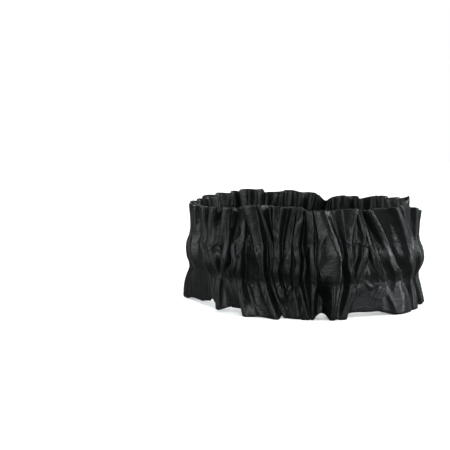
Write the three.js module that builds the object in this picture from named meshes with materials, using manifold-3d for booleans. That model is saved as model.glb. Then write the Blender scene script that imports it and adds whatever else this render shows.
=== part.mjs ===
// Black satin sleeve garter, in millimetres: a gathered satin tube round a hidden elastic.
// It stands on its lower ruffle, +Z up, with the middle of its base at the origin.
// Angles are seen from above: 0 is the front (-Y), and they grow towards the right (+X).
import * as THREE from "three";
import { LoftGeometry } from "three/addons/geometries/LoftGeometry.js";
import { mergeVertices } from "three/addons/utils/BufferGeometryUtils.js";
import Module from "manifold-3d";

const wasm = await Module();
wasm.setup();

// Driving dimensions of the elastic and its casing
const elastic_radius = 46.7;
const elastic_thickness = 1.0;
const elastic_width = 12.0;
const casing_clearance = 0.3;
const casing_seam = 0.7;
const casing_cloth = 1.0;
const casing_fold_depth = 3.1;
const lining_fold_depth = 2.3;
const threading_gap = 0.3;

// Driving dimensions of the ruffles, which are satin folded double
const doubled_cloth = 2.0;
const upper_ruffle = 14.5;
const lower_ruffle = 14.5;
const row_reach = 2.9;
const row_fold_depth = 2.2;
const upper_flare = 3.4;
const upper_fold_depth = 5.8;
const lower_flare = 5.6;
const lower_fold_depth = 6.3;
const rim_rounding = 0.5;

// How far the right side sags: the stitch rows by a length, the upper ruffle by a share of its height
const side_sag = 1.6;
const side_slump = 0.12;

// Folds between the last and the first row of the table, round the back
const back_folds = 17;

// The gap in degrees between two folds' flat faces at which the valley between them is full deep,
// the least depth of a valley, the fall of a flat face towards its edges, as shares of the depth,
// and the lift of the bottom rim in a valley, as a share of the lower ruffle
const full_gap = 5.0;
const least_valley = 0.2;
const crest_roundness = 0.1;
const valley_lift = 0.08;

// One row per fold, left to right round the front. Crest angles in degrees at the top rim, upper
// stitch row, middle, lower row and bottom rim; half-width of the fold's flat face in degrees at the
// top, middle and bottom; reach of its crest as a share of the fold's depth at the same three levels;
// rise of the top rim and lift of the bottom rim as shares of the ruffles' heights.
const FOLD_COLUMNS = [
  "top", "upper", "middle", "lower", "bottom",
  "wide_top", "wide_middle", "wide_bottom",
  "reach_top", "reach_middle", "reach_bottom", "rise", "lift",
];
const FRONT_FOLDS = [
  [-83.6, -83.4, -83.4, -83.7, -80.0, 2.6, 2.4, 2.6, 1.0, 0.85, 1.0, -0.13, 0.04],
  [-71.0, -71.0, -69.0, -67.0, -64.0, 2.4, 2.2, 2.6, 0.9, 0.9, 0.85, -0.11, 0.1],
  [-57.8, -58.9, -54.5, -51.8, -46.9, 2.2, 1.8, 1.8, 1.0, 1.0, 0.6, -0.11, 0.2],
  [-48.0, -51.0, -47.0, -44.6, -40.1, 1.6, 1.4, 1.8, 0.8, 0.9, 0.55, -0.1, 0.07],
  [-37.8, -36.8, -38.9, -37.9, -33.1, 2.0, 2.2, 1.6, 1.0, 1.0, 0.7, -0.09, 0.15],
  [-32.5, -29.8, -30.7, -30.3, -26.8, 1.2, 1.2, 1.4, 0.8, 0.8, 1.05, -0.05, 0.0],
  [-25.6, -21.4, -19.1, -18.5, -11.4, 3.6, 1.5, 1.8, 1.0, 1.0, 1.1, 0.02, 0.0],
  [-20.0, -15.5, -14.4, -14.2, -7.5, 0.8, 0.8, 0.6, 0.6, 0.35, 0.2, 0.01, 0.0],
  [-11.7, -12.0, -11.7, -11.4, -4.5, 2.0, 1.1, 1.2, 1.0, 1.0, 0.6, 0.0, 0.0],
  [-5.1, -6.2, -7.7, -7.3, -2.3, 1.3, 1.4, 1.0, 0.6, 0.6, 0.5, 0.0, 0.0],
  [-1.0, -3.0, -2.4, -3.2, 1.5, 1.0, 1.1, 2.0, 0.6, 1.0, 0.75, -0.01, 0.0],
  [2.1, 3.3, 3.8, 5.0, 4.9, 1.5, 1.1, 0.9, 1.05, 1.05, 0.75, -0.04, 0.0],
  [7.4, 11.2, 11.9, 13.5, 13.0, 3.0, 4.3, 1.6, 0.95, 1.15, 0.95, -0.03, 0.0],
  [17.4, 20.1, 20.9, 22.1, 19.0, 1.4, 1.2, 1.4, 1.0, 0.95, 0.9, -0.04, 0.0],
  [23.6, 28.2, 26.3, 24.6, 23.6, 1.4, 1.6, 1.0, 0.95, 0.9, 0.85, -0.05, 0.02],
  [28.1, 32.6, 35.4, 34.5, 33.0, 1.4, 1.6, 6.2, 0.9, 1.0, 0.4, -0.05, 0.1],
  [32.0, 42.0, 45.5, 50.0, 52.0, 1.4, 2.6, 6.5, 1.0, 1.0, 1.1, -0.05, 0.0],
  [47.4, 58.9, 60.0, 64.7, 67.8, 2.2, 2.0, 2.2, 1.0, 1.0, 0.95, -0.05, 0.0],
  [66.0, 74.8, 76.0, 76.0, 78.0, 2.4, 2.0, 2.2, 0.95, 0.95, 0.95, -0.04, 0.03],
  [84.0, 86.0, 86.0, 86.0, 86.0, 2.6, 2.4, 2.4, 1.0, 1.0, 1.0, -0.1, 0.0],
];

// Rise of the top rim at the back folds, from the right to the left, as shares of the ruffle's height
const BACK_RISES = [
  -0.08, 0.04, 0.02, -0.02, 0.0, 0.0, -0.1, -0.04, -0.25,
  -0.03, 0.03, 0.04, -0.02, 0.08, 0.05, 0.0, -0.06,
];

// Derived heights and radii
const casing_height = elastic_width + 2 * casing_clearance;
const lower_row = lower_ruffle;
const casing_base = lower_row + casing_seam;
const casing_top = casing_base + casing_height;
const upper_row = casing_top + casing_seam;
const room_outside = elastic_radius + elastic_thickness / 2 + casing_clearance;
const room_inside = elastic_radius - elastic_thickness / 2 - casing_clearance;
const casing_valley = room_outside + casing_cloth;
const casing_lining = room_inside - casing_cloth;

function degrees(angle) {
  return (angle * Math.PI) / 180;
}

// Smooth curve through equally spaced values, at a place counted in steps from the first
function curve_through(values, place) {
  const i = Math.min(Math.max(Math.floor(place), 0), values.length - 2);
  const t = place - i;
  const p1 = values[i];
  const p2 = values[i + 1];
  const slope1 = i > 0 ? (p2 - values[i - 1]) / 2 : p2 - p1;
  const slope2 = i + 2 < values.length ? (values[i + 2] - p1) / 2 : p2 - p1;
  const t2 = t * t;
  const t3 = t2 * t;
  return p1 * (2 * t3 - 3 * t2 + 1) + slope1 * (t3 - 2 * t2 + t)
    + p2 * (3 * t2 - 2 * t3) + slope2 * (t3 - t2);
}

// The back folds are spread evenly, and sway a little from level to level
function back_fold(k, first, last) {
  const step = (360 + first.middle - last.middle) / (back_folds + 1);
  const angle = last.middle + step * (k + 1);
  const sway = Math.sin(2.4 * k);
  return {
    top: angle + 1.6 * Math.sin(1.9 * k + 1),
    upper: angle + 0.8 * sway,
    middle: angle,
    lower: angle - 0.8 * sway,
    bottom: angle - 1.8 * Math.sin(2.9 * k),
    wide_top: 2.4 + 0.6 * sway,
    wide_middle: 2.0,
    wide_bottom: 2.6 - 0.6 * sway,
    reach_top: 0.95 + 0.1 * sway,
    reach_middle: 0.95,
    reach_bottom: 0.92 - 0.12 * sway,
    rise: BACK_RISES[k % BACK_RISES.length],
    lift: k % 3 === 1 ? 0.05 : 0,
  };
}

function all_folds() {
  const folds = FRONT_FOLDS.map((row) =>
    Object.fromEntries(FOLD_COLUMNS.map((name, i) => [name, row[i]])));
  const first = folds[0];
  const last = folds[folds.length - 1];
  for (let k = 0; k < back_folds; k++) folds.push(back_fold(k, first, last));
  return folds;
}

const folds = all_folds();

// A level runs from 0 at the bottom rim through 1 at the lower row, 2 at the middle and 3 at the
// upper row to 4 at the top rim
function fold_at(number, level) {
  const turns = Math.floor(number / folds.length);
  const fold = folds[number - turns * folds.length];
  const crest = curve_through([fold.bottom, fold.lower, fold.middle, fold.upper, fold.top], level);
  return {
    crest: crest + 360 * turns,
    width: curve_through([fold.wide_bottom, fold.wide_middle, fold.wide_top], level / 2),
    reach: curve_through([fold.reach_bottom, fold.reach_middle, fold.reach_top], level / 2),
    rise: fold.rise,
    lift: fold.lift,
  };
}

// One column of the cloth: its angle, and how far out it lies between valley (0) and crest (about 1).
// offset runs from -0.5 in the valley on the left of the fold to 0.5 in the valley on its right.
// outside is the wave of the outer face, with flat crests and narrow valleys; inside is the wave
// of the faces within, which are rounder, so that the wall keeps its thickness on a fold's sides.
function column_at(number, offset, level) {
  const side = offset < 0 ? -1 : 1;
  const here = fold_at(number, level);
  const next = fold_at(number + side, level);
  const shoulder = here.crest + side * here.width;
  const next_shoulder = next.crest - side * next.width;
  const valley = (shoulder + next_shoulder) / 2;
  const gap = Math.abs(next_shoulder - shoulder);
  const valley_depth = Math.min(Math.max(gap / full_gap, least_valley), 1);
  const valley_out = Math.min(here.reach, next.reach) * (1 - valley_depth);
  const away = Math.abs(offset) * 2;
  const flat = Math.min(away * 2, 1);
  const flank = Math.max(away * 2 - 1, 0);
  const down = 0.5 - 0.5 * Math.cos(Math.PI * flank);
  const soft_down = 0.5 - 0.5 * Math.cos(Math.PI * away);
  const crest_out = here.reach - crest_roundness * flat ** 2;
  const next_share = away / 2;
  return {
    angle: here.crest + side * here.width * flat + (valley - shoulder) * flank,
    outside: crest_out * (1 - down) + valley_out * down,
    inside: here.reach * (1 - soft_down) + valley_out * soft_down,
    rise: here.rise * (1 - next_share) + next.rise * next_share,
    lift: here.lift + ((next.lift - here.lift) / 2 + valley_lift) * down,
  };
}

// Share of the full sag at an angle: all on the right side, none at the front, back and left
function sag_share(angle) {
  return Math.max(Math.sin(degrees(angle)), 0) ** 2;
}

// Radius of the outer face: valley circle plus the fold's depth, at each named level
function outer_face(level, out) {
  const row = elastic_radius + row_reach - row_fold_depth * (1 - out);
  const casing_edge = casing_valley + 0.35 * casing_fold_depth * out;
  const casing = casing_valley + casing_fold_depth * out;
  const bottom = elastic_radius + lower_flare - lower_fold_depth * (1 - out);
  const top = elastic_radius + upper_flare - upper_fold_depth * (1 - out);
  return {
    bottom,
    lower_middle: 0.62 * bottom + 0.38 * row,
    row,
    casing_edge,
    casing,
    upper_middle: 0.7 * top + 0.3 * row,
    top,
  }[level];
}

// Radius of the casing's lining, the layer that faces the arm, which stays inside the elastic
function lining_face(share, out) {
  return casing_lining - share * lining_fold_depth * Math.max(1 - out, 0);
}

// Heights within the casing
const quarter = (h) => h.casing_base + 0.25 * (h.casing_top - h.casing_base);
const middle = (h) => (h.casing_base + h.casing_top) / 2;
const three_quarters = (h) => h.casing_top - 0.25 * (h.casing_top - h.casing_base);

function point(angle, radius, z) {
  return new THREE.Vector3(radius * Math.sin(degrees(angle)), -radius * Math.cos(degrees(angle)), z);
}

// The heights of one column, after the side's sag and the rims' rise and lift
function heights_of(angle, rise, lift) {
  const share = sag_share(angle);
  const drop = side_sag * share;
  return {
    bottom: lower_ruffle * lift,
    lower_row: lower_row - drop,
    casing_base: casing_base - drop,
    casing_top: casing_top - drop,
    upper_row: upper_row - drop,
    top: upper_row - drop + upper_ruffle * (1 + rise - side_slump * share),
  };
}

// Places a point of a column at a level; radius and height are worked out from the column there
function place(number, offset, level, radius, height) {
  const column = column_at(number, offset, level);
  const rise = column_at(number, offset, 4).rise;
  const lift = column_at(number, offset, 0).lift;
  return point(column.angle, radius(column), height(heights_of(column.angle, rise, lift)));
}

// The closed outline of the cloth at one column, outer face upwards and then inner face downwards
function cloth_section(number, offset) {
  const at = (level, radius, height) => place(number, offset, level, radius, height);
  const outer = (level, name, height) => at(level, (c) => outer_face(name, c.outside), height);
  const inner = (level, name, height) => at(level, (c) => outer_face(name, c.inside) - doubled_cloth, height);
  const lining = (level, share, height) => at(level, (c) => lining_face(share, c.inside), height);
  const lower_half = (h) => (h.bottom + h.lower_row) / 2;
  const upper_half = (h) => (h.upper_row + h.top) / 2;
  return [
    at(0, (c) => outer_face("bottom", c.outside) - rim_rounding, (h) => h.bottom),
    outer(0, "bottom", (h) => h.bottom + rim_rounding),
    outer(0.5, "lower_middle", lower_half),
    outer(1, "row", (h) => h.lower_row),
    outer(1.1, "casing_edge", (h) => h.casing_base),
    outer(1.5, "casing", quarter),
    outer(2.5, "casing", three_quarters),
    outer(2.9, "casing_edge", (h) => h.casing_top),
    outer(3, "row", (h) => h.upper_row),
    outer(3.5, "upper_middle", upper_half),
    outer(4, "top", (h) => h.top - rim_rounding),
    at(4, (c) => outer_face("top", c.outside) - doubled_cloth / 2, (h) => h.top),
    inner(4, "top", (h) => h.top - rim_rounding),
    inner(3.5, "upper_middle", upper_half),
    inner(3, "row", (h) => h.upper_row),
    lining(2.9, 0.4, (h) => h.casing_top),
    lining(2, 1, middle),
    lining(1.1, 0.4, (h) => h.casing_base),
    inner(1, "row", (h) => h.lower_row),
    inner(0.5, "lower_middle", lower_half),
    inner(0, "bottom", (h) => h.bottom + rim_rounding),
    at(0, (c) => outer_face("bottom", c.inside) - doubled_cloth + rim_rounding, (h) => h.bottom),
  ].reverse();
}

// The room for the elastic at one column: one layer of cloth or more within the casing's faces
function room_section(number, offset) {
  const at = (level, radius, height) => place(number, offset, level, radius, height);
  const outer = (c) => outer_face("casing", Math.max(c.inside, 0)) - casing_cloth;
  const lining = (c) => lining_face(0.6, c.inside) + casing_cloth;
  return [
    at(1.1, () => room_outside, (h) => h.casing_base),
    at(1.5, outer, quarter),
    at(2.5, outer, three_quarters),
    at(2.9, () => room_outside, (h) => h.casing_top),
    at(2.9, () => room_inside, (h) => h.casing_top),
    at(2, lining, middle),
    at(1.1, () => room_inside, (h) => h.casing_base),
  ].reverse();
}

// Sections at five columns of every fold, closed into a ring
const column_offsets = [-0.5, -0.3, -0.1, 0.1, 0.3];

function ring_of(section_at) {
  const sections = folds.flatMap((fold, number) =>
    column_offsets.map((offset) => section_at(number, offset)));
  sections.push(sections[0].map((p) => p.clone()));
  return new LoftGeometry(sections);
}

function to_solid(geometry) {
  const bare = new THREE.BufferGeometry();
  bare.setAttribute("position", geometry.attributes.position);
  bare.setIndex(geometry.index);
  const merged = mergeVertices(bare, 1e-4);
  return new wasm.Manifold(new wasm.Mesh({
    numProp: 3,
    vertProperties: new Float32Array(merged.attributes.position.array),
    triVerts: new Uint32Array(merged.index.array),
  }));
}

function to_geometry(solid) {
  const mesh = solid.getMesh();
  const geometry = new THREE.BufferGeometry();
  geometry.setAttribute("position", new THREE.BufferAttribute(new Float32Array(mesh.vertProperties), 3));
  geometry.setIndex(new THREE.BufferAttribute(new Uint32Array(mesh.triVerts), 1));
  geometry.computeVertexNormals();
  return geometry;
}

// The narrow gap in the lining at the back, where the elastic was threaded in
function threading_cut() {
  const depth = room_inside + casing_clearance - casing_lining + 2 * lining_fold_depth;
  const box = new THREE.BoxGeometry(threading_gap, depth, casing_height);
  box.translate(0, room_inside + casing_clearance - depth / 2, (casing_base + casing_top) / 2);
  return to_solid(box);
}

function satin_geometry() {
  const cloth = to_solid(ring_of(cloth_section));
  const room = to_solid(ring_of(room_section));
  return to_geometry(cloth.subtract(room).subtract(threading_cut()));
}

// A plain ring that follows the casing's sag
const elastic_steps = 72;

function elastic_geometry() {
  const low = casing_base + casing_clearance;
  const sections = [];
  for (let i = 0; i <= elastic_steps; i++) {
    const angle = (360 * (i % elastic_steps)) / elastic_steps;
    const base = low - side_sag * sag_share(angle);
    const inside = elastic_radius - elastic_thickness / 2;
    const outside = elastic_radius + elastic_thickness / 2;
    sections.push([
      point(angle, inside, base),
      point(angle, inside, base + elastic_width),
      point(angle, outside, base + elastic_width),
      point(angle, outside, base),
    ]);
  }
  return new LoftGeometry(sections);
}

const satin = new THREE.MeshStandardMaterial({ color: 0x17181b, roughness: 0.38, metalness: 0 });
const elastic = new THREE.MeshStandardMaterial({ color: 0x1d1d1f, roughness: 0.8, metalness: 0 });

const satin_sleeve = new THREE.Mesh(satin_geometry(), satin);
satin_sleeve.name = "satin_sleeve";
const elastic_band = new THREE.Mesh(elastic_geometry(), elastic);
elastic_band.name = "elastic_band";

const sleeve_garter = new THREE.Group();
sleeve_garter.add(satin_sleeve, elastic_band);
export default sleeve_garter;
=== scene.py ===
# Black satin sleeve garter: a strip of satin folded into a tube, gathered round a hidden elastic by two
# rows of stitches, standing on its lower ruffle. Lengths are in millimetres until a mesh is made.
import math

import bmesh
import bpy
import numpy as np
from mathutils import Matrix, Vector

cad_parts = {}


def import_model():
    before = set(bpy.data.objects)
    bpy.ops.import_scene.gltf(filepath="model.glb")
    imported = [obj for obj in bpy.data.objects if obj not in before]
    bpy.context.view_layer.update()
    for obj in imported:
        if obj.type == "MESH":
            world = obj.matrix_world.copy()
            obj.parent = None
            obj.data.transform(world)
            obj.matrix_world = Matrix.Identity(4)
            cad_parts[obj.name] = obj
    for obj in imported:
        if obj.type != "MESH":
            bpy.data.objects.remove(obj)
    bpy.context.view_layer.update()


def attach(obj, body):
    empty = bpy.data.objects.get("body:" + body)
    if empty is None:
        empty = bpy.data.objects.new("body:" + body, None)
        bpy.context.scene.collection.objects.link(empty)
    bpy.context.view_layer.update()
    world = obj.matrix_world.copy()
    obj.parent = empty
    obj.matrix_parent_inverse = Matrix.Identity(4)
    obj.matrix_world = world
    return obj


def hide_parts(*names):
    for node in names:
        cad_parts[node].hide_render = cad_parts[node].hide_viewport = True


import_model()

MM = 0.001

# Radius of the elastic's middle line, how thick the satin is drawn, and the least distance between the
# satin's outer and inner face
elastic_radius = 46.7
satin_thickness = 0.3
least_ply = 0.8

# Heights of the two ruffles and of the casing between them, and how far the right side sags
lower_ruffle = 14.5
casing_width = 14.0
upper_ruffle = 14.5
side_sag = 1.6

# The strip of satin as it was cut, before it was folded into a tube and gathered
strip_length = 460.0

# The five levels up the garter that the tables give values for
BOTTOM, LOWER_ROW, MIDDLE, UPPER_ROW, TOP = range(5)

# One row per fold, left to right round the front, with a value for each level. left and right are the
# angles in degrees of the edges of the fold's flat crest, reach how far out it stands as a share of the
# fold's depth, dip how high the valley on its right lies as the same share, and skew where between the
# two folds that valley lies. lift is how far the bottom rim clears the ground, as a share of the lower
# ruffle's height.
FOLD_COLUMNS = ("left", "right", "reach", "dip", "skew", "lift")
HALFWAY = (0.5, 0.5, 0.5, 0.5, 0.5)
FRONT_FOLDS = (
    ((-83.5, -86.0, -86.0, -86.0, -86.0), (-78.5, -82.0, -81.5, -81.5, -81.5),
     (1.0, 0.78, 0.9, 0.8, 1.0), (0.72, 0.2, 0.2, 0.1, 0.1), HALFWAY, 0.02),
    ((-70.0, -71.0, -72.0, -73.0, -73.5), (-60.0, -65.0, -67.0, -69.0, -69.0),
     (0.62, 0.7, 0.85, 0.9, 0.9), (0.5, 0.3, 0.3, 0.2, 0.1), (0.8, 0.6, 0.5, 0.5, 0.5), 0.12),
    ((-48.6, -52.8, -52.0, -58.5, -59.8), (-47.2, -51.1, -50.3, -55.9, -55.6),
     (0.55, 0.9, 0.95, 1.0, 1.0), (0.5, 0.4, 0.4, 0.4, 0.2), (0.3, 0.4, 0.5, 0.5, 0.5), 0.3),
    ((-43.0, -45.2, -46.2, -52.2, -51.1), (-41.6, -43.8, -44.8, -50.5, -47.1),
     (0.8, 0.9, 0.95, 0.9, 0.9), (0.25, 0.3, 0.35, 0.3, 0.1), (0.6, 0.5, 0.5, 0.5, 0.5), 0.05),
    ((-35.6, -40.4, -38.9, -42.6, -41.8), (-33.9, -38.8, -37.1, -36.5, -36.5),
     (0.35, 0.85, 1.0, 1.0, 1.0), (0.3, 0.8, 0.0, 0.2, 0.0), HALFWAY, 0.15),
    ((-32.8, -36.0, -33.4, -35.6, -35.3), (-31.2, -34.2, -32.0, -34.4, -34.4),
     (0.35, 0.8, 0.85, 0.6, 0.08), (0.4, 0.6, 0.6, 0.3, 0.05), HALFWAY, 0.15),
    ((-27.1, -30.5, -30.2, -29.9, -32.4), (-25.6, -29.4, -29.1, -28.8, -31.9),
     (1.05, 1.0, 1.0, 0.85, 0.08), (0.75, 0.1, 0.05, 0.35, 0.05), (0.5, 0.14, 0.14, 0.15, 0.3), 0.0),
    ((-12.5, -19.4, -19.6, -23.1, -29.7), (-9.9, -17.0, -17.5, -19.1, -22.0),
     (1.05, 1.1, 1.05, 1.05, 1.05), (0.25, 0.1, 0.1, 0.1, 0.6), (0.3, 0.4, 0.4, 0.4, 0.5), 0.0),
    ((-7.9, -15.1, -15.0, -16.0, -21.3), (-7.1, -14.1, -14.1, -15.1, -20.3),
     (0.55, 0.12, 0.15, 0.6, 0.9), (0.5, 0.08, 0.05, 0.1, 0.15), HALFWAY, 0.0),
    ((-5.8, -12.3, -12.5, -13.2, -14.0), (-4.5, -10.7, -10.5, -10.9, -9.9),
     (0.55, 1.1, 1.1, 1.1, 1.05), (0.5, 0.15, 0.15, 0.3, 0.5), (0.5, 0.4, 0.4, 0.4, 0.5), 0.0),
    ((-3.2, -9.0, -9.2, -8.2, -5.4), (-2.4, -5.8, -5.9, -5.4, -4.1),
     (0.55, 0.4, 0.5, 0.6, 0.9), (0.5, 0.25, 0.2, 0.3, 0.85), (0.5, 0.7, 0.7, 0.6, 0.5), 0.0),
    ((-0.3, -3.9, -3.2, -4.3, -3.2), (2.7, -1.6, -1.7, -2.1, -0.6),
     (0.8, 1.05, 1.0, 1.0, 1.0), (0.4, 0.05, 0.0, 0.05, 0.45), HALFWAY, 0.0),
    ((3.6, 4.0, 2.8, 2.1, 0.5), (5.7, 6.0, 4.5, 3.9, 3.4),
     (0.85, 1.15, 1.1, 1.15, 1.15), (0.0, 0.6, 0.75, 0.8, 0.75), HALFWAY, 0.0),
    ((12.0, 8.5, 6.7, 6.8, 4.3), (13.8, 15.9, 16.5, 15.0, 9.1),
     (1.0, 1.4, 1.25, 1.2, 0.95), (0.8, 0.2, 0.1, 0.45, 0.6), (0.5, 0.4, 0.4, 0.5, 0.5), 0.0),
    ((17.0, 21.6, 20.2, 19.3, 17.3), (20.0, 23.1, 21.6, 21.7, 25.0),
     (0.9, 1.0, 1.0, 1.0, 0.9), (0.5, 0.1, 0.1, 0.3, 0.2), HALFWAY, 0.0),
    ((23.0, 24.1, 25.6, 28.8, 26.5), (24.2, 25.4, 26.9, 29.9, 27.0),
     (0.5, 0.9, 0.9, 0.95, 0.3), (0.45, 0.7, 0.4, 0.3, 0.25), HALFWAY, 0.15),
    ((32.3, 37.2, 33.3, 31.0, 28.0), (37.9, 38.7, 34.4, 32.1, 28.6),
     (0.45, 0.85, 0.9, 0.95, 0.3), (0.6, 0.5, 0.3, 0.35, 0.2), HALFWAY, 0.13),
    ((46.0, 47.5, 42.1, 39.0, 28.9), (58.4, 54.0, 46.4, 42.8, 32.2),
     (1.05, 1.05, 1.05, 1.1, 1.05), (0.2, 0.2, 0.1, 0.1, 0.0), (0.3, 0.3, 0.4, 0.4, 0.4), 0.0),
    ((62.0, 62.0, 57.5, 55.5, 45.3), (67.0, 65.3, 61.8, 60.0, 48.6),
     (0.95, 0.9, 1.05, 1.1, 1.1), (0.3, 0.1, 0.05, 0.1, 0.7), HALFWAY, 0.0),
    ((70.5, 67.8, 66.0, 64.5, 52.0), (71.5, 68.8, 67.0, 65.5, 61.5),
     (0.4, 0.3, 0.3, 0.45, 0.85), (0.3, 0.1, 0.1, 0.15, 0.4), HALFWAY, 0.0),
    ((76.0, 73.0, 73.5, 73.0, 69.0), (80.0, 78.0, 78.0, 78.0, 75.0),
     (0.95, 0.75, 0.95, 0.75, 0.95), (0.2, 0.2, 0.2, 0.2, 0.3), HALFWAY, 0.03),
    ((84.5, 84.0, 84.0, 84.0, 82.0), (88.0, 88.0, 88.0, 88.0, 86.5),
     (1.0, 0.78, 1.0, 0.78, 1.0), (0.2, 0.2, 0.2, 0.1, 0.1), HALFWAY, 0.0),
)

# Folds round the back, which start back_margin degrees past the front's. A wave is its size, its radians
# from fold to fold and its start. The shares of lean and swing, and half the width of a crest in degrees,
# are given for each level.
back_folds = 17
back_margin = 2.0
PLACE_WAVE = (2.0, 1.3, 0.5)
SWING_WAVE = (1.0, 2.4, 0.0)
LEAN_WAVE = (3.2, 0.55, 0.4)
lean_swing = 1.2
LEAN_SHARE = (-0.9, -0.3, 0.0, 0.3, 1.0)
SWING_SHARE = (0.0, 0.0, 0.0, 0.6, 0.0)
HALF_CREST = (1.6, 1.3, 1.2, 1.4, 1.8)
CREST_SWING = (-0.9, -0.5, 0.0, 0.5, 0.9)
# Their other columns: mean, size of the wave, radians from fold to fold and radians from level to level
BACK_COLUMNS = {
    "reach": (0.92, 0.14, 2.1, 1.3),
    "dip": (0.2, 0.22, 3.7, 0.8),
    "skew": (0.5, 0.2, 1.7, 0.6),
}
# One in three clears the ground, by this share of the lower ruffle's height
lifted_every = 3
back_lift = 0.05

# The closing seam at the back, a groove, and the small creases scattered on both sides of it: the angles
# between which they start, the ranges of their start's level, tilt and bend in degrees, height and width
# in millimetres, and how many levels up their middle and their end lie
seam_angle = 172.0
seam_depth = 0.45
seam_width = 0.35
seam_end = 0.05
crease_seed = 5
crease_count = 26
CREASE_STARTS = (95.0, 265.0)
CREASE_RANGES = ((0.2, 3.0), (-6, 6), (-2, 2), (0.25, 0.6), (0.6, 0.9))
crease_middle = 0.35
crease_end = 0.75

# Height of the top rim round the garter: angle from the front in degrees, height in millimetres
TOP_RIM = (
    (-180, 42.9), (-174, 43.6), (-166, 43.7), (-157.5, 42.4), (-155.5, 44.7), (-144, 44.4), (-130, 43.4),
    (-115, 43.0), (-100, 41.8), (-80, 41.0), (-58, 41.5), (-38, 42.4), (-32, 42.8), (-28, 43.8),
    (-20, 44.4), (-12, 44.0), (-1, 44.1), (2, 42.6), (10, 42.8), (17, 43.2), (25, 43.4), (28, 42.6),
    (36, 42.7), (46, 43.4), (56, 43.6), (66, 42.4), (82, 39.9), (96, 39.3), (103, 39.7), (108, 41.6),
    (111, 44.0), (116, 42.7), (136, 42.8), (145, 41.2), (156, 42.1), (165, 40.6), (168, 38.6),
    (171, 42.1), (176, 42.6), (180, 42.9),
)
# How much further the bottom rim clears the ground, in millimetres, between angles in degrees
BOTTOM_RISE = ((4.0, 0.0), (10.8, 1.1), (11.8, 0.0))
# How far the top rim dips in the valley after each fold
rim_tooth = 0.35
# How far the bottom rim rises in the valley after a fold that stands fully out, as a share of the lower
# ruffle's height
valley_lift = 0.08
# How far from a stitch row, in levels, the cloth's slope still changes
row_easing = 0.4

# How far a crest lies outside the elastic's middle, and how deep the folds are, at each half level
# from the bottom rim (0) through the lower row (1), the middle (2) and the upper row (3) to the top (4)
OUTER_REACH = (5.6, 4.9, 3.6, 4.7, 4.9, 4.7, 3.6, 3.4, 3.4)
OUTER_DEPTH = (6.3, 5.4, 3.6, 3.5, 3.4, 3.5, 3.6, 5.0, 5.8)
INNER_REACH = (4.6, 2.9, 2.0, -1.8, -1.8, -1.8, 2.0, 2.0, 2.6)
INNER_DEPTH = (5.9, 4.4, 2.6, 2.3, 2.3, 2.3, 2.6, 4.3, 5.4)

# Places where the cloth lies flat across the folds: the angle and level of the middle, half the width in
# degrees and half the height in levels, the flat's distance from the garter's axis, its slope as the
# millimetres that it moves out for each level up, its lean in degrees for each level up, how many
# degrees it is turned to the right, and how much of the folds it takes away
FLATS = (
    (-5.2, 0.25, 4.6, 0.5, 48.4, -2.5, 0.0, -18.0, 0.85),
    (8.6, 0.4, 3.1, 0.62, 44.2, -3.2, 0.0, 14.0, 1.0),
    (0.6, 2.0, 1.8, 0.75, 47.0, 0.0, 0.0, 0.0, 0.8),
    (11.0, 1.8, 4.8, 0.86, 52.0, -0.9, -2.4, -4.0, 0.8),
    (-68.0, 0.2, 19.0, 0.85, 48.6, -0.4, 0.0, 7.0, 1.0),
    (30.5, 0.3, 7.0, 0.55, 48.6, 0.0, 0.0, -6.0, 0.85),
    (-34.3, 3.65, 2.4, 0.5, 44.8, 0.0, 0.0, 16.0, 0.95),
    (-45.4, 3.5, 2.5, 0.75, 45.4, -1.5, 1.5, 20.0, 0.9),
    (-41.8, 2.0, 1.9, 0.8, 48.0, 0.0, 0.0, 18.0, 0.9),
    (43.6, 3.45, 4.4, 0.9, 46.2, -1.5, -10.5, -30.0, 0.95),
    (51.0, 2.2, 3.8, 1.0, 47.2, -0.6, -6.0, -38.0, 0.95),
    (46.0, 0.35, 4.2, 0.5, 50.4, -0.8, 2.0, -18.0, 0.8),
)

# Small ridges that run their own way over the folds: how high and how wide each is in millimetres,
# then its way as pairs of an angle and a level
CREASES = (
    (0.8, 0.7, ((-26.3, 3.2), (-28.3, 2.85), (-30.0, 2.4))),
    (0.5, 0.8, ((6.8, 2.1), (7.3, 2.95), (8.6, 3.3), (10.7, 3.37), (13.0, 3.05), (15.2, 2.6))),
    (0.9, 0.9, ((0.0, 3.7), (-1.8, 3.57), (-3.1, 3.43), (-4.1, 3.2), (-4.2, 3.0))),
    (0.7, 0.7, ((-11.5, 0.97), (-11.4, 0.72), (-9.8, 0.55), (-7.6, 0.6), (-6.4, 0.83))),
    (0.6, 0.7, ((-38.5, 2.1), (-38.0, 1.45), (-36.3, 1.05), (-34.6, 1.45), (-33.8, 2.1))),
    (0.6, 0.6, ((24.8, 3.1), (28.3, 3.05), (30.8, 3.0), (33.3, 2.65), (35.4, 2.1), (35.5, 1.45))),
    (0.5, 0.6, ((29.2, 3.35), (28.3, 3.05), (26.6, 2.5))),
    (0.4, 0.6, ((29.5, 2.3), (30.5, 1.4))),
    (0.5, 0.7, ((30.5, 1.0), (33.0, 0.8), (36.0, 0.95))),
    (0.5, 0.8, ((-25.5, 0.85), (-23.5, 0.6), (-21.5, 0.35))),
    (0.5, 0.8, ((40.5, 0.95), (44.0, 0.5), (46.5, 0.15))),
    (0.4, 0.7, ((-5.8, 3.05), (-7.6, 2.5), (-8.4, 2.1), (-7.5, 1.4))),
    (0.4, 0.7, ((-5.2, 4.0), (-5.0, 3.4))),
    (0.4, 0.8, ((54.0, 3.9), (56.0, 3.6), (60.0, 3.4))),
)

# A flat's edges: how sharply it stops at its sides and at its ends, how many levels higher its ends lie
# at its right side than in the middle, and the widest angle in degrees over which its plane is followed
side_power = 6
end_power = 4
flat_rise = 0.3
flat_reach = 60.0

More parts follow.
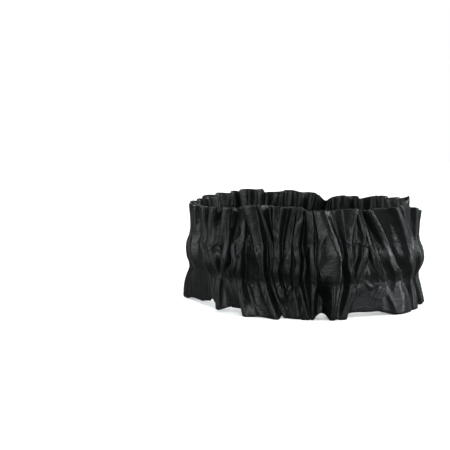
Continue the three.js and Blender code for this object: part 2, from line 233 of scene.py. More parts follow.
# Each fold across, drawn through six nodes. A crest is at least least_crest wide, as far as crest_room, a
# share of the gap beside it, allows. The flanks' height is a share of the way from the valley to the
# crest, flank_place where they lie on the way to the valley, and flank_width the most that they take. The
# crest's edges lie at edge_share of its height, and a valley is at most valley_share of its width deep.
NODES = 6
least_crest = 1.8
crest_room = 0.26
flank_height = 0.42
inner_flank_height = 0.35
flank_place = 0.45
flank_width = 2.2
edge_share = 0.94
valley_share = 0.95

# Fine ridges along the crests' edges, and how often the face is smoothed before and after the flats
edge_height = 0.32
edge_width = 0.38
soft_passes = 4
flat_passes = 1

# Sway of the folds to both sides: how many degrees, levels to a wave, waves round the garter and start
sway = 0.4
sway_levels = 1.7
sway_turns = 11
sway_start = 0.6

# Small forms on the finished face. Both kinds of wrinkle are a number of waves, the ranges of their
# length round the garter and up the cloth, and their size. The puckers fade over pucker_reach from the
# stitch rows, each row lies in a groove, and the rims stay smooth for smooth_rim of a level.
wrinkle_seed = 11
PUCKERS = (8, (1.8, 3.6), (14, 60), 0.06)
SOFT_WRINKLES = (12, (3.0, 7.0), (14, 50), 0.05)
pucker_reach = 2.4
groove_depth = 0.03
groove_width = 0.5
smooth_rim = 0.15

# Rows of the grid: the levels where their spacing changes and how many lie in each stretch up the outer
# face, then how many go over the top rim, down the inner face and under the bottom rim
rim_level = 0.045
ROW_LEVELS = (rim_level, 0.78, 1.25, 2.75, 3.22, TOP - rim_level)
ROW_COUNTS = (11, 11, 15, 11, 11)
over_rows = 7
inner_rows = 24
under_rows = 5
# Columns of the grid on each fold in front and behind. The lining takes one in lining_step of all.
front_columns = 26
back_columns = 14
lining_step = 2

# The satin's threads, drawn a few times coarser than real ones so that they show, and the slubs, where
# a thread is thicker for a short way
thread_pitch = 0.5
float_length = 1.2
thread_relief = 0.12
slub_pitch = 2.2
slub_length = 5.0
slub_relief = 0.12
# Ribs of the elastic, and the relief of its yarn and of the thread's fuzz
elastic_rib = 0.8
yarn_relief = 0.15
fuzz_relief = 0.05

# The gathering stitches. Their thread is a tube whose middle line starts thread_sink of its radius below
# the cloth, rises from there by thread_arch of it, and is thread_end as thick at both ends.
stitch_length = 2.3
stitch_pitch = 3.2
thread_radius = 0.1
thread_sides = 5
thread_rings = 7
thread_arch = 1.1
thread_sink = 0.8
thread_end = 0.5

# The camera, in metres, pixels and degrees, as the photograph was taken
camera_distance = 0.453
camera_height = 0.080
focal_pixels = 1047.0
picture_pixels = 450.0
axis_pixel = 304.5
camera_pitch = 6.12
camera_roll = 0.5
sensor_width = 36.0

# The studio, in metres, watts and degrees: half the floor's side, the even light from above with its
# spread, and how brightly the room shines on the garter
floor_half = 1.3
ceiling_strength = 3.1
ceiling_spread = 60.0
room_glow = 0.1
# Area lights: name, place, width, height, power, colour, and whether the satin mirrors them
AREA_LIGHTS = (
    ("left_fill", (-0.95, 0.1, 0.45), 1.2, 1.0, 0.5, "#f9ffff", False),
    ("right_fill", (0.95, 0.1, 0.45), 1.2, 1.0, 1.2, "#f9ffff", False),
    ("front_softbox", (0.06, -0.95, 0.4), 0.45, 1.1, 8.0, "#fbfffe", True),
    ("back_softbox", (-0.1, 0.95, 0.4), 0.5, 1.0, 3.0, "#fbfffe", True),
)
# Upright strip lights round the garter: name, azimuth from the front and power
STRIP_LIGHTS = (
    ("left_front_strip", -60.0, 3.8),
    ("left_strip", -92.0, 3.2),
    ("right_front_strip", 64.0, 5.0),
    ("right_strip", 92.0, 7.8),
    ("right_back_strip", 125.0, 1.2),
)
strip_light_distance = 0.92
strip_light_middle = 0.35
strip_light_width = 0.1
strip_light_height = 0.8
strip_light_colour = "#f3fcff"
# All lights look at a point in the lower half of the garter
LIGHT_AIM = (0.0, 0.0, 0.02)


def catmull_rom(p0, p1, p2, p3, t):
    """The Catmull-Rom curve from p1 to p2, a cubic in t from 0 to 1. Its slope at each of the two is half
    the step between the points on either side of it."""
    return 0.5 * (
        2 * p1
        + (p2 - p0) * t
        + (2 * p0 - 5 * p1 + 4 * p2 - p3) * t**2
        + (3 * p1 - p0 - 3 * p2 + p3) * t**3
    )


def to_half_turn(angle):
    """The same angle between -180 and 180 degrees."""
    return (angle + 180) % 360 - 180


def wave(k, size, rate, start):
    """size * sin(rate * k + start)."""
    return size * np.sin(rate * k + start)


def smooth_through(values, place):
    """Catmull-Rom curve through equally spaced rows of values, at places counted in steps. Past both
    ends the last step goes on straight."""
    values = np.asarray(values, float)
    place = np.asarray(place, float)
    last = len(values) - 1
    i = np.clip(np.floor(place).astype(int), 0, last - 1)
    t = (place - i).reshape((-1,) + (1,) * (values.ndim - 1))
    start, end = values[i], values[i + 1]
    has_before = (i > 0).reshape(t.shape)
    has_after = (i + 2 <= last).reshape(t.shape)
    earlier = np.where(has_before, values[np.maximum(i - 1, 0)], 2 * start - end)
    later = np.where(has_after, values[np.minimum(i + 2, last)], 2 * end - start)
    return catmull_rom(earlier, start, end, later, t)


def back_fold_table():
    """The folds round the back, spread evenly. They lean one way and the other in slow waves, and each
    swings a little of its own."""
    first = FRONT_FOLDS[0][0][MIDDLE] + back_margin
    last = FRONT_FOLDS[-1][1][MIDDLE] - back_margin
    k = np.arange(back_folds)[:, None]
    level = np.arange(TOP + 1)[None, :]
    angle = last + (360 + first - last) / (back_folds + 1) * (k + 1)
    angle = angle + wave(k, *PLACE_WAVE)
    swing = wave(k, *SWING_WAVE)
    lean = wave(k, *LEAN_WAVE) + lean_swing * swing
    crest = angle + lean * LEAN_SHARE + swing * SWING_SHARE
    half = HALF_CREST + swing * CREST_SWING
    table = {
        name: mean + wave(k, size, rate, rise * level)
        for name, (mean, size, rate, rise) in BACK_COLUMNS.items()
    }
    table["left"], table["right"] = crest - half, crest + half
    table["lift"] = np.where(np.arange(back_folds) % lifted_every == 1, back_lift, 0.0)
    return table


def back_creases():
    """Short creases scattered over the back, each running up the cloth and off to one side, and the
    closing seam, a groove where the strip's two ends meet."""
    rng = np.random.default_rng(crease_seed)
    seam = ((seam_angle, seam_end), (seam_angle, TOP - seam_end))
    creases = [(-seam_depth, seam_width, seam)]
    for start in np.linspace(*CREASE_STARTS, crease_count):
        level, tilt, bend, height, width = (rng.uniform(low, high) for low, high in CREASE_RANGES)
        middle = (start + tilt / 2 + bend, level + crease_middle)
        creases.append((height, width, ((start, level), middle, (start + tilt, level + crease_end))))
    return creases


def fold_table():
    """All the folds, front and back, as one array for each column of the table. A crest narrower than
    least_crest is widened to it, as far as its share of the gaps beside it allows."""
    back = back_fold_table()
    table = {
        name: np.concatenate([np.array([row[i] for row in FRONT_FOLDS], float), back[name]])
        for i, name in enumerate(FOLD_COLUMNS)
    }
    left, right = table["left"], table["right"]
    turn = np.zeros_like(left)
    turn[-1] = 360.0
    gap = np.roll(left, -1, 0) + turn - right
    room = np.minimum(gap, np.roll(gap, 1, 0)) * crest_room
    half = (right - left) / 2
    more = np.clip(math.degrees(least_crest / 2 / elastic_radius) - half, 0, room)
    table["left"], table["right"] = left - more, right + more
    return table


# Every fold, front and back, worked out once
fold = fold_table()
fold_count = len(fold["lift"])


def before(values, turn=0.0):
    """The value of the fold before each, with a full turn taken off where the ring closes."""
    shifted = np.roll(values, 1, axis=1)
    shifted[:, 0] -= turn
    return shifted


def ring_nodes(level, flank, depths):
    """Six nodes a fold at each level: valley, left flank, left edge, crest, right edge and right
    flank. Returns their angles and how far out they lie, from 0 in the deepest valley to about 1.
    No valley is deeper than a share of its own width, and no flank wider than flank_width."""
    most = math.degrees(flank_width / elastic_radius)
    left, right, reach, dip, skew = (smooth_through(fold[n].T, level) for n in FOLD_COLUMNS[:5])
    next_left = np.roll(left, -1, axis=1)
    next_left[:, -1] += 360.0
    valley = right + (next_left - right) * skew
    width = np.radians(next_left - right) * elastic_radius
    least = np.minimum(reach, np.roll(reach, -1, axis=1))
    dip = np.maximum(dip, least - valley_share * width / smooth_through(depths, 2 * level)[:, None])
    valley_before, dip_before = before(valley, 360.0), before(dip)
    angles = np.stack([
        valley_before,
        left - np.minimum((left - valley_before) * flank_place, most),
        left,
        (left + right) / 2,
        right,
        right + np.minimum((valley - right) * flank_place, most),
    ], 2)
    outs = np.stack([
        dip_before,
        dip_before + (reach - dip_before) * flank,
        reach * edge_share,
        reach,
        reach * edge_share,
        dip + (reach - dip) * flank,
    ], 2)
    rows = len(level)
    return angles.reshape(rows, -1), outs.reshape(rows, -1)


def round_ring(values, place, turn=0.0):
    """Closed Catmull-Rom curve through each row's nodes, at places counted in nodes."""
    count = values.shape[1]
    i = np.floor(place).astype(int)
    t = (place - i)[None, :]

    def at(step):
        j = i + step
        return values[:, j % count] + turn * (j // count)[None, :]

    return catmull_rom(at(-1), at(0), at(1), at(2), t)


def sag_share(angle):
    """Share of the full sag: all on the right side, none at the front, back and left."""
    return np.maximum(np.sin(np.radians(angle)), 0) ** 2


def tube_path():
    """The path round the folded tube: up the outer face, over the top rim, down the inner face and under
    the bottom rim, with each rim half an ellipse. Returns the rows' levels and layers: layer 0 is the
    outer face and 1 the inner one."""
    stretches = zip(ROW_LEVELS, ROW_LEVELS[1:], ROW_COUNTS)
    up = np.concatenate([np.linspace(low, high, count, endpoint=False) for low, high, count in stretches])
    over = np.linspace(0, np.pi, over_rows)
    down = np.linspace(TOP - rim_level, rim_level, inner_rows)[1:-1]
    under = np.linspace(0, np.pi, under_rows)[:-1]
    over_level = TOP - rim_level + rim_level * np.sin(over)
    under_level = rim_level - rim_level * np.sin(under)
    level = np.concatenate([up, over_level, down, under_level])
    layer = np.concatenate([0 * up, (1 - np.cos(over)) / 2, 1 + 0 * down, (1 + np.cos(under)) / 2])
    return level, layer


def ring_places():
    """Places of the columns, counted in nodes: closer together on the folds round the front."""
    places = []
    for number in range(fold_count):
        count = front_columns if number < len(FRONT_FOLDS) else back_columns
        places.append(NODES * (number + np.arange(count) / count))
    return np.concatenate(places)


def column_values(values, place, between=0.0):
    """A value of each fold carried to the columns: its own on the crest and the mean in the valleys, by
    half a cosine wave. There between is added, times the fourth power of a sine wave."""
    n = len(values)
    between = np.broadcast_to(between, n)
    position = place / NODES - 0.5
    i = np.floor(position).astype(int)
    t = position - i
    blend = 0.5 - 0.5 * np.cos(np.pi * t)
    valley = np.sin(np.pi * t) ** 4
    return values[i % n] * (1 - blend) + values[(i + 1) % n] * blend + between[i % n] * valley


def rim_height(angle):
    """Height of the top rim at each angle, straight between the table's points."""
    table = np.array(TOP_RIM, float)
    return np.interp(to_half_turn(angle), table[:, 0], table[:, 1])


def eased_ramp(x):
    """0 below -row_easing and x above row_easing, with a parabola between that joins them smoothly."""
    return np.where(np.abs(x) < row_easing, (x + row_easing) ** 2 / (4 * row_easing), np.maximum(x, 0))


def heights(level, angle, tooth, lift):
    """Height of each point: a line up from the bottom rim that changes its slope at the two rows, eased
    so that no edge shows there, with the right side's sag."""
    lower_row = lower_ruffle - side_sag * sag_share(angle)
    bottom = lower_ruffle * lift[None, :] + np.interp(angle, *np.transpose(BOTTOM_RISE))
    top = rim_height(angle) + rim_tooth * tooth[None, :]
    level = level[:, None]
    lower_slope = lower_row - bottom
    casing_slope = casing_width / 2
    upper_slope = top - lower_row - casing_width
    return (
        bottom
        + lower_slope * level
        + (casing_slope - lower_slope) * eased_ramp(level - LOWER_ROW)
        + (upper_slope - casing_slope) * eased_ramp(level - UPPER_ROW)
    )


def normals_of(points):
    """Unit normals of a grid of points that closes both ways, pointing out of the tube."""
    around = np.roll(points, -1, 1) - np.roll(points, 1, 1)
    along = np.roll(points, -1, 0) - np.roll(points, 1, 0)
    n = np.cross(around, along)
    return n / np.maximum(np.linalg.norm(n, axis=2, keepdims=True), 1e-9)


def lengths_along(points, axis):
    """Distance travelled along the rows or columns of a grid, from its first line."""
    total = np.cumsum(np.linalg.norm(np.roll(points, -1, axis) - points, axis=2), axis)
    return total - np.take(total, [0], axis)


def wrinkles(u, v, rng, count, wave_u, wave_v, size):
    """Sum of count sine ripples with random phases, divided by the square root of count: wave_u and
    wave_v are the ranges of their lengths along u and v, and size is the height of each."""
    total = np.zeros_like(u)
    for _ in range(count):
        ku = 2 * np.pi / rng.uniform(*wave_u)
        kv = 2 * np.pi / rng.uniform(*wave_v) * rng.choice([-1, 1])
        total += np.sin(ku * u + kv * v + rng.uniform(0, 2 * np.pi))
    return total * size / math.sqrt(count)


def flattened(radius, angle, level):
    """Radii of the outer face with flat facets let in: a flat at distance d whose face looks along the
    angle f lies at radius d cos(f - middle) / cos(angle - f). It counts for its share times
    exp(-(across / wide)^side_power - (up / tall)^end_power), a window with a flat top."""
    for middle, height, wide, tall, distance, slope, lean, turned, share in FLATS:
        up = level[:, None] - height
        across = to_half_turn(angle - middle - lean * up)
        side = (across / wide) ** side_power
        end = ((up - flat_rise * across / wide) / tall) ** end_power
        spread = np.cos(np.radians(np.clip(across - turned, -flat_reach, flat_reach)))
        facet = (distance + slope * up) * math.cos(math.radians(turned)) / spread
        radius = radius + (facet - radius) * np.exp(-side - end) * share
    return radius


def softened(grid, passes, axis):
    """A grid smoothed along one axis by repeating the mean of each value with its neighbours'."""
    for _ in range(passes):
        grid = (np.roll(grid, 1, axis) + 2 * grid + np.roll(grid, -1, axis)) / 4
    return grid


def level_height(level):
    """Height in millimetres of a level at the front of the garter."""
    rows = (0, lower_ruffle, lower_ruffle + casing_width, lower_ruffle + casing_width + upper_ruffle)
    return np.interp(level, (BOTTOM, LOWER_ROW, UPPER_ROW, TOP), rows)


def creased(angle, level):
    """How far each small ridge lifts the cloth: height * exp(-(distance / width)^2) from its line."""
    x = np.radians(angle) * elastic_radius
    z = level_height(level)[:, None] + 0 * angle
    total = np.zeros_like(x)
    for height, width, way in list(CREASES) + back_creases():
        line = np.array([(math.radians(a) * elastic_radius, level_height(l)) for a, l in way])
        nearest = np.full_like(x, np.inf)
        for start, end in zip(line[:-1], line[1:]):
            step = end - start
            t = np.clip(((x - start[0]) * step[0] + (z - start[1]) * step[1]) / (step @ step), 0, 1)
            gap = (x - start[0] - t * step[0]) ** 2 + (z - start[1] - t * step[1]) ** 2
            nearest = np.minimum(nearest, gap)
        total += height * np.exp(-nearest / width**2)
    return total


def crest_edges(angle, level):
    """Fine ridges along both edges of every fold's crest, each edge_height * exp(-(distance /
    edge_width)^2) high."""
    total = np.zeros_like(angle)
    for name in ("left", "right"):
        for edge in smooth_through(fold[name].T, level).T:
            gap = np.radians(to_half_turn(angle - edge[:, None])) * elastic_radius
            total += np.exp(-((gap / edge_width) ** 2))
    return edge_height * total


def swayed(angle, level):
    """How many degrees the folds sway to one side: a sine wave up the cloth whose phase turns slowly
    round the garter, so that neighbours sway together."""
    a = np.radians(angle)
    return sway * np.sin(2 * np.pi * level[:, None] / sway_levels + sway_turns * a + sway_start)


def satin_tube():
    """Points of the satin's surface, its rows' levels and layers, and its columns' places. The outer
    face lies at elastic_radius + reach - depth * (1 - out), where out is how far the fold stands out
    there, with the flats, the crests' edges and the creases added. The inner face follows its own such
    line and stays least_ply inside the outer one, and the rims blend the two."""
    level, layer = tube_path()
    place = ring_places()
    angles_out, outs_out = ring_nodes(level, flank_height, OUTER_DEPTH)
    angles_in, outs_in = ring_nodes(level, inner_flank_height, INNER_DEPTH)
    mix = layer[:, None]
    angle = round_ring(angles_out * (1 - mix) + angles_in * mix, place, 360.0)
    angle = angle + swayed(angle, level)

    def radius(reach, depth, out):
        crest = smooth_through(reach, 2 * level)[:, None]
        deep = smooth_through(depth, 2 * level)[:, None]
        return elastic_radius + crest - deep * (1 - out)

    outer = softened(radius(OUTER_REACH, OUTER_DEPTH, round_ring(outs_out, place)), soft_passes, 1)
    outer = outer + crest_edges(angle, level)
    outer = softened(flattened(outer, angle, level), flat_passes, 1) + creased(angle, level)
    inner = np.minimum(radius(INNER_REACH, INNER_DEPTH, round_ring(outs_in, place)), outer - least_ply)
    r = outer * (1 - mix) + inner * mix
    tooth = column_values(np.zeros(fold_count), place, -1.0)
    open_share = np.clip(fold["reach"][:, BOTTOM] - fold["dip"][:, BOTTOM], 0, 1)
    lift = np.maximum(column_values(fold["lift"], place, valley_lift * open_share), 0)
    z = heights(level, angle, tooth, lift)
    a = np.radians(angle)
    points = np.stack([r * np.sin(a), -r * np.cos(a), z], 2)
    return points, level, layer, place


def worked_surface(points, level):
    """The tube with its small forms, pushed along its normals: the grooves and puckers of the stitch
    rows and soft wrinkles. Returns it with the lengths up the cloth."""
    rng = np.random.default_rng(wrinkle_seed)
    u = lengths_along(points, 1)
    v = lengths_along(points, 0)
    to_row = np.minimum(
        np.abs(level - LOWER_ROW) * np.where(level < LOWER_ROW, lower_ruffle, casing_width / 2),
        np.abs(level - UPPER_ROW) * np.where(level > UPPER_ROW, upper_ruffle, casing_width / 2),
    )[:, None]
    groove = -groove_depth * np.exp(-((to_row / groove_width) ** 2))
    pucker = wrinkles(u, v, rng, *PUCKERS) * np.exp(-to_row / pucker_reach)
    soft = wrinkles(u, v, rng, *SOFT_WRINKLES)
    away_from_rim = np.clip(np.minimum(level, TOP - level) / smooth_rim, 0, 1)[:, None]
    push = groove + pucker + soft * away_from_rim
    return points + normals_of(points) * push[..., None], v


def grid_faces(rows, columns, flip=False):
    """Quads of a grid that closes both ways."""
    i, j = np.meshgrid(np.arange(rows), np.arange(columns), indexing="ij")
    a = i * columns + j
    b = i * columns + (j + 1) % columns
    c = (i + 1) % rows * columns + (j + 1) % columns
    d = (i + 1) % rows * columns + j
    quads = np.stack([a, b, c, d], 2).reshape(-1, 4)
    return quads[:, ::-1] if flip else quads


def new_mesh(name, points, faces, uv=None):
    """A smooth mesh object from arrays of points in millimetres and faces of equal size."""
    mesh = bpy.data.meshes.new(name)
    size = faces.shape[1]
    mesh.vertices.add(len(points))
    mesh.vertices.foreach_set("co", (points * MM).astype(np.float32).ravel())
    mesh.loops.add(faces.size)
    mesh.loops.foreach_set("vertex_index", faces.astype(np.int32).ravel())
    mesh.polygons.add(len(faces))
    mesh.polygons.foreach_set("loop_start", np.arange(0, faces.size, size, dtype=np.int32))
    mesh.update(calc_edges=True)
    mesh.polygons.foreach_set("use_smooth", np.ones(len(faces), bool))
    if uv is not None:
        layer = mesh.uv_layers.new(name="cloth")
        layer.data.foreach_set("uv", uv.astype(np.float32).ravel())
    mesh.validate()
    piece = bpy.data.objects.new(name, mesh)
    bpy.context.scene.collection.objects.link(piece)
    return piece


def cloth_map(place, v, rows, columns):
    """The cloth's own coordinates at each corner of the grid's quads, in metres: up the cloth and along
    the strip. The last row and column close the grid without running back to its start."""
    last_step = v[-1, 0] - v[-2, 0]
    up = np.append(v[:, 0], v[-1, 0] + last_step) * MM
    share = np.append(place, NODES * fold_count) / (NODES * fold_count)
    along = share * strip_length * MM
    i, j = np.meshgrid(np.arange(rows), np.arange(columns), indexing="ij")
    corner_rows = np.stack([i, i, i + 1, i + 1], 2)
    corner_columns = np.stack([j, j + 1, j + 1, j], 2)
    return np.stack([up[corner_rows], along[corner_columns]], 3).reshape(-1, 2)


def satin_piece():
    """The satin as one mesh: the tube's surface and a coarser lining inside it, at satin_thickness from
    it. Nothing reaches below the ground. Returns the piece, the surface's points and its rows' levels."""
    points, level, layer, place = satin_tube()
    points, v = worked_surface(points, level)
    points[..., 2] = np.maximum(points[..., 2], 0.0)
    rows, columns = points.shape[:2]
    lining = (points - normals_of(points) * satin_thickness)[::lining_step, ::lining_step]
    lining[..., 2] = np.maximum(lining[..., 2], satin_thickness)
    front = grid_faces(rows, columns)
    back = grid_faces(*lining.shape[:2], flip=True) + rows * columns
    uv = np.concatenate([cloth_map(place, v, rows, columns), np.zeros((back.size, 2))])
    everything = np.concatenate([points.reshape(-1, 3), lining.reshape(-1, 3)])
    return new_mesh("satin", everything, np.concatenate([front, back]), uv), points, level


def linear(hex_colour):
    """An sRGB hex colour as linear red, green, blue and alpha."""
    c = [int(hex_colour[i:i + 2], 16) / 255 for i in (1, 3, 5)]
    return [x / 12.92 if x <= 0.04045 else ((x + 0.055) / 1.055) ** 2.4 for x in c] + [1.0]


def add_node(tree, kind, settings=None, links=None, **inputs):
    """One node with its settings, its sockets' values and the links into it."""
    node = tree.nodes.new(kind)
    for key, value in (settings or {}).items():
        setattr(node, key, value)
    for key, value in inputs.items():
        node.inputs[key.replace("_", " ")].default_value = value
    for key, source in (links or {}).items():
        tree.links.new(source, node.inputs[key])
    return node


def new_material(name):
    """A material with an empty node tree, and the tree."""
    material = bpy.data.materials.new(name)
    material.use_nodes = True
    material.node_tree.nodes.clear()
    return material, material.node_tree


def black_satin():
    """Polyester satin, woven with its long floats running round the garter: smooth, black and
    lustrous, with sharp bright lines along every fold, broken into fine beads by the threads."""
    material, tree = new_material("black_satin")
    cloth = add_node(tree, "ShaderNodeUVMap", {"uv_map": "cloth"}).outputs[0]
    tangent = add_node(tree, "ShaderNodeTangent", {"direction_type": "UV_MAP", "uv_map": "cloth"})

    def streaks(pitch, length, detail):
        scaled = add_node(
            tree, "ShaderNodeMapping", None, {"Vector": cloth},
            Scale=(1 / (pitch * MM), 1 / (length * MM), 1.0),
        )
        noise = add_node(
            tree, "ShaderNodeTexNoise", {"noise_dimensions": "2D"}, {"Vector": scaled.outputs[0]},
            Scale=1.0, Detail=detail, Roughness=0.6,
        )
        return noise.outputs["Fac"]

    threads = streaks(thread_pitch, float_length, 1.0)
    slubs = streaks(slub_pitch, slub_length, 3.0)
    weave = add_node(tree, "ShaderNodeBump", None, {"Height": threads},
                     Strength=1.0, Distance=thread_relief * MM)
    surface = add_node(tree, "ShaderNodeBump", None, {"Height": slubs, "Normal": weave.outputs[0]},
                       Strength=1.0, Distance=slub_relief * MM)
    roughness = add_node(tree, "ShaderNodeMapRange", None, {"Value": slubs}, To_Min=0.24, To_Max=0.44)
    tint = add_node(tree, "ShaderNodeMix", {"data_type": "RGBA"}, {"Factor": slubs})
    tint.inputs[6].default_value = linear("#050606")
    tint.inputs[7].default_value = linear("#0d0d0d")
    shader = add_node(
        tree, "ShaderNodeBsdfPrincipled", None,
        {
            "Base Color": tint.outputs[2],
            "Roughness": roughness.outputs[0],
            "Normal": surface.outputs[0],
            "Tangent": tangent.outputs[0],
        },
        IOR=1.5, Specular_IOR_Level=0.26, Anisotropic=0.7,
    )
    add_node(tree, "ShaderNodeOutputMaterial", None, {"Surface": shader.outputs[0]})
    return material


def knitted_elastic():
    """Knitted black elastic: matt polyester yarn in fine ribs that run round the band."""
    material, tree = new_material("knitted_elastic")
    place = add_node(tree, "ShaderNodeTexCoord").outputs["Object"]
    ribs = add_node(tree, "ShaderNodeTexWave", {"bands_direction": "Z"}, {"Vector": place},
                    Scale=1 / (elastic_rib * MM * 2 * math.pi), Distortion=1.0)
    relief = add_node(tree, "ShaderNodeBump", None, {"Height": ribs.outputs["Fac"]},
                      Distance=yarn_relief * MM)
    tint = add_node(tree, "ShaderNodeMix", {"data_type": "RGBA"}, {"Factor": ribs.outputs["Fac"]})
    tint.inputs[6].default_value = linear("#16161a")
    tint.inputs[7].default_value = linear("#2a2a2e")
    shader = add_node(
        tree, "ShaderNodeBsdfPrincipled", None,
        {"Base Color": tint.outputs[2], "Normal": relief.outputs[0]}, Roughness=0.85,
    )
    add_node(tree, "ShaderNodeOutputMaterial", None, {"Surface": shader.outputs[0]})
    return material


def polyester_thread():
    """Spun polyester sewing thread: black, a little fuzzy and less lustrous than the satin."""
    material, tree = new_material("sewing_thread")
    place = add_node(tree, "ShaderNodeTexCoord").outputs["Object"]
    fuzz = add_node(tree, "ShaderNodeTexNoise", None, {"Vector": place}, Scale=6000.0, Detail=2.0)
    relief = add_node(tree, "ShaderNodeBump", None, {"Height": fuzz.outputs["Fac"]},
                      Distance=fuzz_relief * MM)
    tint = add_node(tree, "ShaderNodeMix", {"data_type": "RGBA"}, {"Factor": fuzz.outputs["Fac"]})
    tint.inputs[6].default_value = linear("#0a0a0b")
    tint.inputs[7].default_value = linear("#1c1c1f")
    shader = add_node(
        tree, "ShaderNodeBsdfPrincipled", None,
        {"Base Color": tint.outputs[2], "Normal": relief.outputs[0]}, Roughness=0.6,
    )
    add_node(tree, "ShaderNodeOutputMaterial", None, {"Surface": shader.outputs[0]})
    return material


def white_paper():
    """Seamless paper: plain, matt and nearly white to the camera. Rays mirrored off the satin see it dark
    grey, a painted shade on the floor's reflection in the satin."""
    material, tree = new_material("white_paper")
    seen = add_node(tree, "ShaderNodeLightPath")
    # Painted shade: glossy rays, which the satin mirrors, see the paper dark grey instead of white
    tint = add_node(tree, "ShaderNodeMix", {"data_type": "RGBA"}, {"Factor": seen.outputs["Is Glossy Ray"]})
    tint.inputs[6].default_value = linear("#f6f6f7")
    tint.inputs[7].default_value = linear("#404040")
    shader = add_node(
        tree, "ShaderNodeBsdfPrincipled", None,
        {"Base Color": tint.outputs[2]}, Roughness=0.9,
    )
    add_node(tree, "ShaderNodeOutputMaterial", None, {"Surface": shader.outputs[0]})
    return material


def add_camera():
    """The camera in front of the garter, turned so that the garter's axis falls on axis_pixel."""
    yaw = math.atan((axis_pixel - picture_pixels / 2) / focal_pixels)
    pitch, roll = math.radians(camera_pitch), math.radians(camera_roll)
    ahead = Vector((-math.sin(yaw) * math.cos(pitch), math.cos(yaw) * math.cos(pitch), -math.sin(pitch)))
    level_right = Vector((math.cos(yaw), math.sin(yaw), 0.0))
    level_up = level_right.cross(ahead)
    right = level_right * math.cos(roll) + level_up * math.sin(roll)
    up = level_up * math.cos(roll) - level_right * math.sin(roll)
    data = bpy.data.cameras.new("camera")
    data.sensor_width = sensor_width
    data.lens = sensor_width * focal_pixels / picture_pixels
    camera = bpy.data.objects.new("camera", data)
    bpy.context.scene.collection.objects.link(camera)
    turn = Matrix((right, up, -ahead)).transposed().to_4x4()
    camera.matrix_world = Matrix.Translation((0.0, -camera_distance, camera_height)) @ turn
    bpy.context.scene.camera = camera


def add_area_light(name, place, width, height, watts, colour, mirrored=True):
    """A softbox that looks at the garter. One that isn't mirrored lights the satin without a highlight."""
    data = bpy.data.lights.new(name, "AREA")
    data.shape = "RECTANGLE"
    data.size, data.size_y = width, height
    data.energy = watts
    data.color = linear(colour)[:3]
    light = bpy.data.objects.new(name, data)
    bpy.context.scene.collection.objects.link(light)
    light.location = place
    light.rotation_euler = (Vector(LIGHT_AIM) - Vector(place)).to_track_quat("-Z", "Y").to_euler()
    light.visible_glossy = mirrored


def add_sky_light(name, strength, spread):
    """A broad even light from straight above, like a lit ceiling."""
    data = bpy.data.lights.new(name, "SUN")
    data.energy = strength
    data.angle = math.radians(spread)
    light = bpy.data.objects.new(name, data)
    light.visible_glossy = False
    bpy.context.scene.collection.objects.link(light)


def add_studio():
    """White paper under the garter, a room that is white to the camera and dim to the satin, and lights."""
    scene = bpy.context.scene
    scene.view_settings.view_transform = "Standard"
    world = bpy.data.worlds.new("studio")
    scene.world = world
    world.use_nodes = True
    tree = world.node_tree
    seen = add_node(tree, "ShaderNodeLightPath")
    strength = add_node(
        tree, "ShaderNodeMapRange", None, {"Value": seen.outputs["Is Camera Ray"]},
        To_Min=room_glow, To_Max=1.0,
    )
    background = tree.nodes["Background"]
    background.inputs["Color"].default_value = (1.0, 1.0, 1.0, 1.0)
    tree.links.new(strength.outputs[0], background.inputs["Strength"])
    corners = np.array([[-1, -1, 0], [1, -1, 0], [1, 1, 0], [-1, 1, 0]]) * floor_half / MM
    floor = new_mesh("floor", corners, np.array([[0, 1, 2, 3]]))
    floor.data.materials.append(white_paper())
    add_sky_light("ceiling", ceiling_strength, ceiling_spread)
    for light in AREA_LIGHTS:
        add_area_light(*light)
    for name, azimuth, watts in STRIP_LIGHTS:
        turn = math.radians(azimuth)
        across, ahead = strip_light_distance * math.sin(turn), strip_light_distance * math.cos(turn)
        place = (across, -ahead, strip_light_middle)
        add_area_light(name, place, strip_light_width, strip_light_height, watts, strip_light_colour)


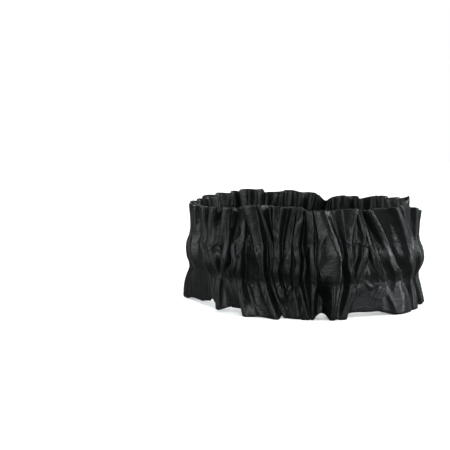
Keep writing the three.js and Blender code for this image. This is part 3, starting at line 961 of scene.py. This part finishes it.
def row_of_stitches(name, surface, level, row_level):
    """Short lengths of thread laid end to end along one stitch row: each is a tube round a middle line
    that follows the satin, rises by an arch and dips into the cloth at both ends."""
    row = int(np.argmin(np.abs(level[:level.argmax()] - row_level)))
    line = surface[row]
    outward = normals_of(surface)[row]
    closed = np.concatenate([line, line[:1]])
    out = np.concatenate([outward, outward[:1]])
    along = np.concatenate([[0.0], np.cumsum(np.linalg.norm(np.diff(closed, axis=0), axis=1))])
    count = int(along[-1] // stitch_pitch)
    rings, sides = thread_rings, thread_sides
    step = np.linspace(0, 1, rings)
    places = (np.arange(count)[:, None] * along[-1] / count + step[None, :] * stitch_length).ravel()
    middle = np.stack([np.interp(places, along, closed[:, i]) for i in range(3)], 1)
    lifted = np.stack([np.interp(places, along, out[:, i]) for i in range(3)], 1)
    arch = np.tile(np.sin(np.pi * step) ** 0.5, count)[:, None]
    middle = middle + lifted * (arch * thread_arch - thread_sink) * thread_radius
    ahead = np.gradient(middle.reshape(count, rings, 3), axis=1).reshape(-1, 3)
    ahead /= np.linalg.norm(ahead, axis=1, keepdims=True)
    side = np.cross(ahead, lifted)
    side /= np.linalg.norm(side, axis=1, keepdims=True)
    up = np.cross(side, ahead)
    turn = 2 * np.pi * np.arange(sides) / sides
    thin = np.tile(np.where((step == 0) | (step == 1), thread_end, 1.0), count)[:, None, None]
    ring = np.cos(turn)[None, :, None] * side[:, None] + np.sin(turn)[None, :, None] * up[:, None]
    points = (middle[:, None] + ring * thread_radius * thin).reshape(-1, 3)
    k, i, j = np.meshgrid(np.arange(count), np.arange(rings - 1), np.arange(sides), indexing="ij")
    start = (k * rings + i) * sides
    beside = (j + 1) % sides
    quads = np.stack([start + j, start + sides + j, start + sides + beside, start + beside], 3)
    piece = new_mesh(name, points, quads.reshape(-1, 4))
    cap_ends(piece)
    return piece


def cap_ends(piece):
    """Close every open end of a piece's tubes."""
    shape = bmesh.new()
    shape.from_mesh(piece.data)
    bmesh.ops.holes_fill(shape, edges=[e for e in shape.edges if e.is_boundary], sides=0)
    bmesh.ops.recalc_face_normals(shape, faces=shape.faces)
    shape.to_mesh(piece.data)
    shape.free()


def main():
    """The satin in place of its solid, the stitches on it, the elastic in its own material, the camera
    and the studio."""
    add_camera()
    satin, surface, level = satin_piece()
    satin.data.materials.append(black_satin())
    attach(satin, "root")
    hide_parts("satin_sleeve")
    thread = polyester_thread()
    for name, row_level in (("lower_stitches", LOWER_ROW), ("upper_stitches", UPPER_ROW)):
        stitches = row_of_stitches(name, surface, level, row_level)
        stitches.data.materials.append(thread)
        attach(stitches, "root")
    elastic = bpy.data.objects["elastic_band"]
    elastic.material_slots[0].material = knitted_elastic()
    add_studio()


main()
